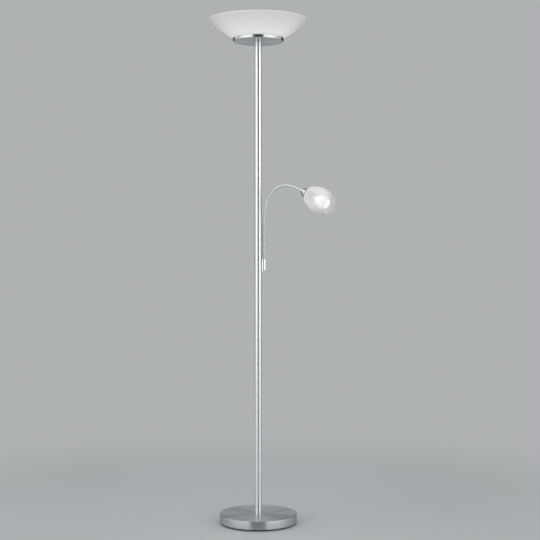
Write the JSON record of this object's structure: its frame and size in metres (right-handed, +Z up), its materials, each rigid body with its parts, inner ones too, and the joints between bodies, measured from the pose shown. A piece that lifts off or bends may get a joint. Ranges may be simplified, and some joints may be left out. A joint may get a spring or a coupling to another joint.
{
  "type": "floor lamp",
  "caption": "Torchiere floor lamp: round weighted base, slim pole, wide glass bowl on a metal pan, and a reading light on a flexible arm that swivels and bends.",
  "frame": {"origin": "on the floor, at the middle of the round base, under the pole's axis", "axes": "+Z up along the pole, +X towards the reading light's bracket, toggle levers on the -X side, cable outlet on the +Y side, the picture's camera on the -Y side"},
  "size_m": [0.449, 0.3725, 1.8],
  "materials": {
    "cover_steel": "satin brushed nickel plate",
    "pole_chrome": "bright nickel plate",
    "arm_metal": "satin nickel plate",
    "neck_metal": "wound hose, satin plate",
    "pad_foam": "dark dense foam",
    "iron": "raw, lightly oiled",
    "gland_rubber": "matte moulded",
    "zinc_steel": "zinc plated hardware",
    "bowl_glass": "white satin glass",
    "shade_glass": "satin frosted glass",
    "bulb_glass": "opal lamp glass, lit",
    "quartz": "clear quartz, lit",
    "cap_metal": "pressed screw cap",
    "ceramic": "glazed white ceramic",
    "switch_plastic": "black moulding",
    "holder_plastic": "black heat-proof moulding",
    "gasket_rubber": "grey heat-proof silicone"
  },
  "bodies": {
    "stand": {"foot_pad": "pad_foam", "base_weight": "iron", "base_cover": "cover_steel", "cable_gland": "gland_rubber", "base_nipple": "zinc_steel", "base_washer": "zinc_steel", "base_nut": "zinc_steel", "pole_foot_bush": "zinc_steel", "pole_lower": "pole_chrome", "pole_middle": "pole_chrome", "pole_upper": "pole_chrome", "pole_sockets": "zinc_steel", "pole_studs": "zinc_steel", "pole_top_bush": "zinc_steel", "bowl_pan": "pole_chrome", "bowl_spacer": "zinc_steel", "bowl_gasket": "gasket_rubber", "bowl_shade": "bowl_glass", "bowl_washer": "zinc_steel", "bracket_spacer": "zinc_steel", "lamp_bracket": "zinc_steel", "bowl_nut": "zinc_steel", "bowl_nipple": "zinc_steel", "lamp_holders": "ceramic", "holder_screws": "zinc_steel", "bowl_lamp": "quartz", "switch_bodies": "switch_plastic", "arm_bracket": "pole_chrome", "bracket_screw": "zinc_steel", "stop_screw": "zinc_steel"},
    "toggle_lower": {"toggle_lower": "pole_chrome"},
    "toggle_upper": {"toggle_upper": "pole_chrome"},
    "arm": {"arm_tube": "arm_metal", "arm_ferrule": "pole_chrome", "neck_section_1": "neck_metal"},
    "neck_link_2": {"neck_section_2": "neck_metal"},
    "neck_link_3": {"neck_section_3": "neck_metal"},
    "neck_link_4": {"neck_section_4": "neck_metal"},
    "neck_link_5": {"neck_section_5": "neck_metal"},
    "neck_link_6": {"neck_section_6": "neck_metal"},
    "head": {"neck_section_7": "neck_metal", "head_cup": "pole_chrome", "head_stud": "zinc_steel", "lampholder": "holder_plastic", "shade_ring": "holder_plastic", "reading_shade": "shade_glass", "bulb_globe": "bulb_glass", "bulb_cap": "cap_metal"}
  },
  "joints": [
    {"name": "toggle_lower_flip", "type": "hinge", "parent": "stand", "child": "toggle_lower", "pos_m": [-0.0095, 0, 0.904], "axis": [0, -1, 0], "range_deg": [0, 34]},
    {"name": "toggle_upper_flip", "type": "hinge", "parent": "stand", "child": "toggle_upper", "pos_m": [-0.0095, 0, 0.929], "axis": [0, -1, 0], "range_deg": [0, 34]},
    {"name": "arm_swivel", "type": "hinge", "parent": "stand", "child": "arm", "pos_m": [0.0195, 0, 0.9335], "axis": [0, 0, 1], "range_deg": [-69, 141]},
    {"name": "neck_bend_1", "type": "hinge", "parent": "arm", "child": "neck_link_2", "pos_m": [0.02059, -0.00079, 1.09193], "axis": [-0.5878, -0.809, 0], "range_deg": [-10, 10]},
    {"name": "neck_bend_2", "type": "hinge", "parent": "neck_link_2", "child": "neck_link_3", "pos_m": [0.02893, -0.00685, 1.13463], "axis": [-0.5878, -0.809, 0], "range_deg": [-10, 10]},
    {"name": "neck_bend_3", "type": "hinge", "parent": "neck_link_3", "child": "neck_link_4", "pos_m": [0.0449, -0.01845, 1.17374], "axis": [-0.5878, -0.809, 0], "range_deg": [-10, 10]},
    {"name": "neck_bend_4", "type": "hinge", "parent": "neck_link_4", "child": "neck_link_5", "pos_m": [0.07235, -0.0384, 1.20048], "axis": [-0.5878, -0.809, 0], "range_deg": [-10, 10]},
    {"name": "neck_bend_5", "type": "hinge", "parent": "neck_link_5", "child": "neck_link_6", "pos_m": [0.1073, -0.06379, 1.20468], "axis": [-0.5878, -0.809, 0], "range_deg": [-10, 10]},
    {"name": "neck_bend_6", "type": "hinge", "parent": "neck_link_6", "child": "head", "pos_m": [0.14127, -0.08847, 1.19192], "axis": [-0.5878, -0.809, 0], "range_deg": [-10, 10]}
  ]
}
